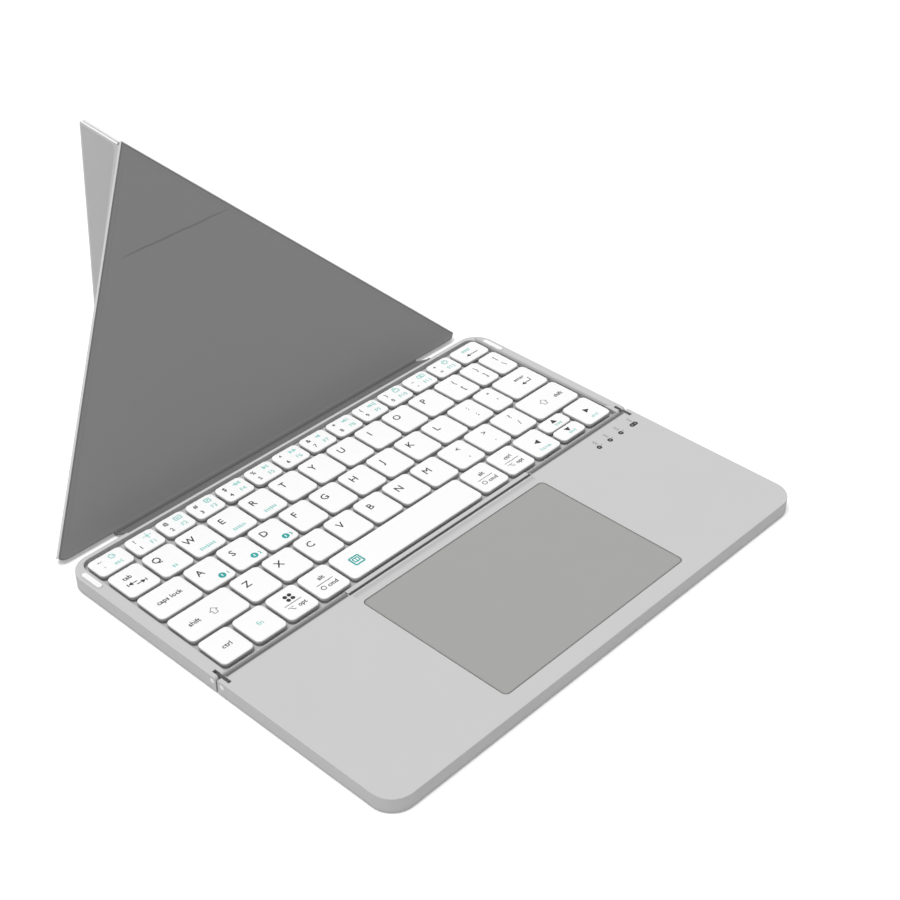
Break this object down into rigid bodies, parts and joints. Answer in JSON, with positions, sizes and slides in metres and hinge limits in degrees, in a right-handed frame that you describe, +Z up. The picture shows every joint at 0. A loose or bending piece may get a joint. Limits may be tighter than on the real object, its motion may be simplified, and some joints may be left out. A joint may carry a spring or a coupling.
{
  "type": "folding keyboard with touch pad and stand",
  "caption": "Slim keyboard that folds shut over its touch pad on a double hinge, with a fabric-covered cover that folds into a triangular tablet stand.",
  "frame": {"origin": "middle of the footprint of the open keyboard and its raised stand, on the table", "axes": "+X to the user's right, +Y away from the user, +Z up"},
  "size_m": [0.25, 0.3318, 0.1215],
  "materials": {
    "case": "satin light grey",
    "cover": "satin light grey",
    "caps": "matte white",
    "plate": "matte grey",
    "domes": "matte",
    "circuit_board": "satin green",
    "feet": "matte",
    "pale_rubber": "matte white",
    "pins": "bright",
    "links": "dark satin",
    "screws": "satin",
    "magnets": "satin",
    "outer_skin": "fine grained grey",
    "lining": "matte dark grey",
    "wing_skin": "matte grey",
    "stand_board": "matte",
    "battery": "satin black",
    "port_metal": "satin",
    "dark_lens": "gloss black",
    "switch": "matte black",
    "touchpad": "fine matte grey"
  },
  "bodies": {
    "keyboard_half": {"keyboard_frame": "case", "keyboard_bottom_cover": "cover", "key_plate": "plate", "dome_sheet": "domes", "keyboard_circuit_board": "circuit_board", "keyboard_feet": "feet", "bumper_pads": "pale_rubber", "keyboard_hinge_pins": "pins", "keyboard_screws": "screws", "keyboard_magnets": "magnets", "stand_flap": "outer_skin"},
    "hinge_link_pair": {"hinge_links": "links"},
    "palmrest": {"palmrest_top_shell": "case", "palmrest_bottom_cover": "cover", "battery": "battery", "main_circuit_board": "circuit_board", "charge_port": "port_metal", "indicator_lights": "dark_lens", "palmrest_feet": "feet", "palmrest_screws": "screws", "palmrest_magnets": "magnets", "palmrest_hinge_pins": "pins"},
    "touchpad": {"touchpad_plate": "touchpad", "touchpad_circuit_board": "circuit_board", "click_switch": "switch"},
    "spine": {"spine_strip": "outer_skin"},
    "stand_front": {"front_board": "stand_board", "front_lining": "lining", "front_outer_skin": "outer_skin"},
    "wing_left": {"wing_board_left": "stand_board", "wing_skins_left": "wing_skin"},
    "wing_right": {"wing_board_right": "stand_board", "wing_skins_right": "wing_skin"},
    "fin_left": {"fin_board_left": "wing_skin", "fin_magnet_left": "magnets"},
    "fin_right": {"fin_board_right": "wing_skin", "fin_magnet_right": "magnets"},
    "escape_key": {"escape_key": "caps"},
    "backspace_key": {"backspace_key": "caps"},
    "tab_key": {"tab_key": "caps"},
    "backslash_key": {"backslash_key": "caps"},
    "caps_lock_key": {"caps_lock_key": "caps"},
    "enter_key": {"enter_key": "caps"},
    "shift_key_left": {"shift_key_left": "caps"},
    "shift_key_right": {"shift_key_right": "caps"},
    "control_key_left": {"control_key_left": "caps"},
    "function_key": {"function_key": "caps"},
    "option_key": {"option_key": "caps"},
    "alt_key_left": {"alt_key_left": "caps"},
    "space_bar": {"space_bar": "caps"},
    "alt_key_right": {"alt_key_right": "caps"},
    "control_key_right": {"control_key_right": "caps"},
    "arrow_key_left": {"arrow_key_left": "caps"},
    "arrow_key_up": {"arrow_key_up": "caps"},
    "arrow_key_down": {"arrow_key_down": "caps"},
    "arrow_key_right": {"arrow_key_right": "caps"},
    "number_keys": {"number_keys": "caps"},
    "upper_letter_keys": {"upper_letter_keys": "caps"},
    "home_letter_keys": {"home_letter_keys": "caps"},
    "lower_letter_keys": {"lower_letter_keys": "caps"}
  },
  "joints": [
    {"name": "escape_key_press", "type": "slide", "parent": "keyboard_half", "child": "escape_key", "axis": [0, 0, -1], "range_m": [0, 0.0012], "stiffness_N_per_m": 300, "springref_m": -0.0005},
    {"name": "backspace_key_press", "type": "slide", "parent": "keyboard_half", "child": "backspace_key", "axis": [0, 0, -1], "range_m": [0, 0.0012], "stiffness_N_per_m": 300, "springref_m": -0.0005},
    {"name": "tab_key_press", "type": "slide", "parent": "keyboard_half", "child": "tab_key", "axis": [0, 0, -1], "range_m": [0, 0.0012], "stiffness_N_per_m": 300, "springref_m": -0.0005},
    {"name": "backslash_key_press", "type": "slide", "parent": "keyboard_half", "child": "backslash_key", "axis": [0, 0, -1], "range_m": [0, 0.0012], "stiffness_N_per_m": 300, "springref_m": -0.0005},
    {"name": "caps_lock_key_press", "type": "slide", "parent": "keyboard_half", "child": "caps_lock_key", "axis": [0, 0, -1], "range_m": [0, 0.0012], "stiffness_N_per_m": 300, "springref_m": -0.0005},
    {"name": "enter_key_press", "type": "slide", "parent": "keyboard_half", "child": "enter_key", "axis": [0, 0, -1], "range_m": [0, 0.0012], "stiffness_N_per_m": 300, "springref_m": -0.0005},
    {"name": "shift_key_left_press", "type": "slide", "parent": "keyboard_half", "child": "shift_key_left", "axis": [0, 0, -1], "range_m": [0, 0.0012], "stiffness_N_per_m": 300, "springref_m": -0.0005},
    {"name": "shift_key_right_press", "type": "slide", "parent": "keyboard_half", "child": "shift_key_right", "axis": [0, 0, -1], "range_m": [0, 0.0012], "stiffness_N_per_m": 300, "springref_m": -0.0005},
    {"name": "control_key_left_press", "type": "slide", "parent": "keyboard_half", "child": "control_key_left", "axis": [0, 0, -1], "range_m": [0, 0.0012], "stiffness_N_per_m": 300, "springref_m": -0.0005},
    {"name": "function_key_press", "type": "slide", "parent": "keyboard_half", "child": "function_key", "axis": [0, 0, -1], "range_m": [0, 0.0012], "stiffness_N_per_m": 300, "springref_m": -0.0005},
    {"name": "option_key_press", "type": "slide", "parent": "keyboard_half", "child": "option_key", "axis": [0, 0, -1], "range_m": [0, 0.0012], "stiffness_N_per_m": 300, "springref_m": -0.0005},
    {"name": "alt_key_left_press", "type": "slide", "parent": "keyboard_half", "child": "alt_key_left", "axis": [0, 0, -1], "range_m": [0, 0.0012], "stiffness_N_per_m": 300, "springref_m": -0.0005},
    {"name": "space_bar_press", "type": "slide", "parent": "keyboard_half", "child": "space_bar", "axis": [0, 0, -1], "range_m": [0, 0.0012], "stiffness_N_per_m": 300, "springref_m": -0.0005},
    {"name": "alt_key_right_press", "type": "slide", "parent": "keyboard_half", "child": "alt_key_right", "axis": [0, 0, -1], "range_m": [0, 0.0012], "stiffness_N_per_m": 300, "springref_m": -0.0005},
    {"name": "control_key_right_press", "type": "slide", "parent": "keyboard_half", "child": "control_key_right", "axis": [0, 0, -1], "range_m": [0, 0.0012], "stiffness_N_per_m": 300, "springref_m": -0.0005},
    {"name": "arrow_key_left_press", "type": "slide", "parent": "keyboard_half", "child": "arrow_key_left", "axis": [0, 0, -1], "range_m": [0, 0.0012], "stiffness_N_per_m": 300, "springref_m": -0.0005},
    {"name": "arrow_key_up_press", "type": "slide", "parent": "keyboard_half", "child": "arrow_key_up", "axis": [0, 0, -1], "range_m": [0, 0.0012], "stiffness_N_per_m": 300, "springref_m": -0.0005},
    {"name": "arrow_key_down_press", "type": "slide", "parent": "keyboard_half", "child": "arrow_key_down", "axis": [0, 0, -1], "range_m": [0, 0.0012], "stiffness_N_per_m": 300, "springref_m": -0.0005},
    {"name": "arrow_key_right_press", "type": "slide", "parent": "keyboard_half", "child": "arrow_key_right", "axis": [0, 0, -1], "range_m": [0, 0.0012], "stiffness_N_per_m": 300, "springref_m": -0.0005},
    {"name": "number_keys_press", "type": "slide", "parent": "keyboard_half", "child": "number_keys", "axis": [0, 0, -1], "range_m": [0, 0.0012], "stiffness_N_per_m": 3600, "springref_m": -0.0005},
    {"name": "upper_letter_keys_press", "type": "slide", "parent": "keyboard_half", "child": "upper_letter_keys", "axis": [0, 0, -1], "range_m": [0, 0.0012], "stiffness_N_per_m": 3600, "springref_m": -0.0005},
    {"name": "home_letter_keys_press", "type": "slide", "parent": "keyboard_half", "child": "home_letter_keys", "axis": [0, 0, -1], "range_m": [0, 0.0012], "stiffness_N_per_m": 3300, "springref_m": -0.0005},
    {"name": "lower_letter_keys_press", "type": "slide", "parent": "keyboard_half", "child": "lower_letter_keys", "axis": [0, 0, -1], "range_m": [0, 0.0012], "stiffness_N_per_m": 3000, "springref_m": -0.0005},
    {"name": "link_turn", "type": "hinge", "parent": "keyboard_half", "child": "hinge_link_pair", "pos_m": [0, -0.06808, 0.0051], "axis": [-1, 0, 0], "range_deg": [0, 90]},
    {"name": "palmrest_fold", "type": "hinge", "parent": "hinge_link_pair", "child": "palmrest", "pos_m": [0, -0.07368, 0.0051], "axis": [-1, 0, 0], "range_deg": [0, 90]},
    {"name": "touchpad_click", "type": "hinge", "parent": "palmrest", "child": "touchpad", "pos_m": [0, -0.08043, 0.00515], "axis": [1, 0, 0], "range_deg": [0, 0.22], "stiffness_Nm_per_rad": 40, "springref_deg": -0.23},
    {"name": "spine_turn", "type": "hinge", "parent": "keyboard_half", "child": "spine", "pos_m": [0, 0.02572, 0.0064], "axis": [1, 0, 0], "range_deg": [0, 122.58]},
    {"name": "front_turn", "type": "hinge", "parent": "spine", "child": "stand_front", "pos_m": [0, 0.03449, 0.0008], "axis": [1, 0, 0], "range_deg": [0, 5.1]},
    {"name": "wing_left_unfold", "type": "hinge", "parent": "stand_front", "child": "wing_left", "pos_m": [-0.1234, 0.03449, 0.0008], "axis": [0.63, 0.4747, 0.6146], "range_deg": [0, 113.02]},
    {"name": "wing_right_unfold", "type": "hinge", "parent": "stand_front", "child": "wing_right", "pos_m": [0.1234, 0.03449, 0.0008], "axis": [0.63, -0.4747, -0.6146], "range_deg": [0, 113.02]},
    {"name": "fin_left_unfold", "type": "hinge", "parent": "wing_left", "child": "fin_left", "pos_m": [-0.0009, 0.12679, 0.1203], "axis": [0, 0.3144, -0.9493], "range_deg": [0, 44.38]},
    {"name": "fin_right_unfold", "type": "hinge", "parent": "wing_right", "child": "fin_right", "pos_m": [0.0009, 0.12679, 0.1203], "axis": [0, -0.3144, 0.9493], "range_deg": [0, 44.38]}
  ],
  "couplings": [
    {"joint": "wing_right_unfold", "follows": "wing_left_unfold", "ratio": 1},
    {"joint": "fin_left_unfold", "follows": "wing_left_unfold", "ratio": 0.39265},
    {"joint": "fin_right_unfold", "follows": "wing_left_unfold", "ratio": 0.39265}
  ]
}
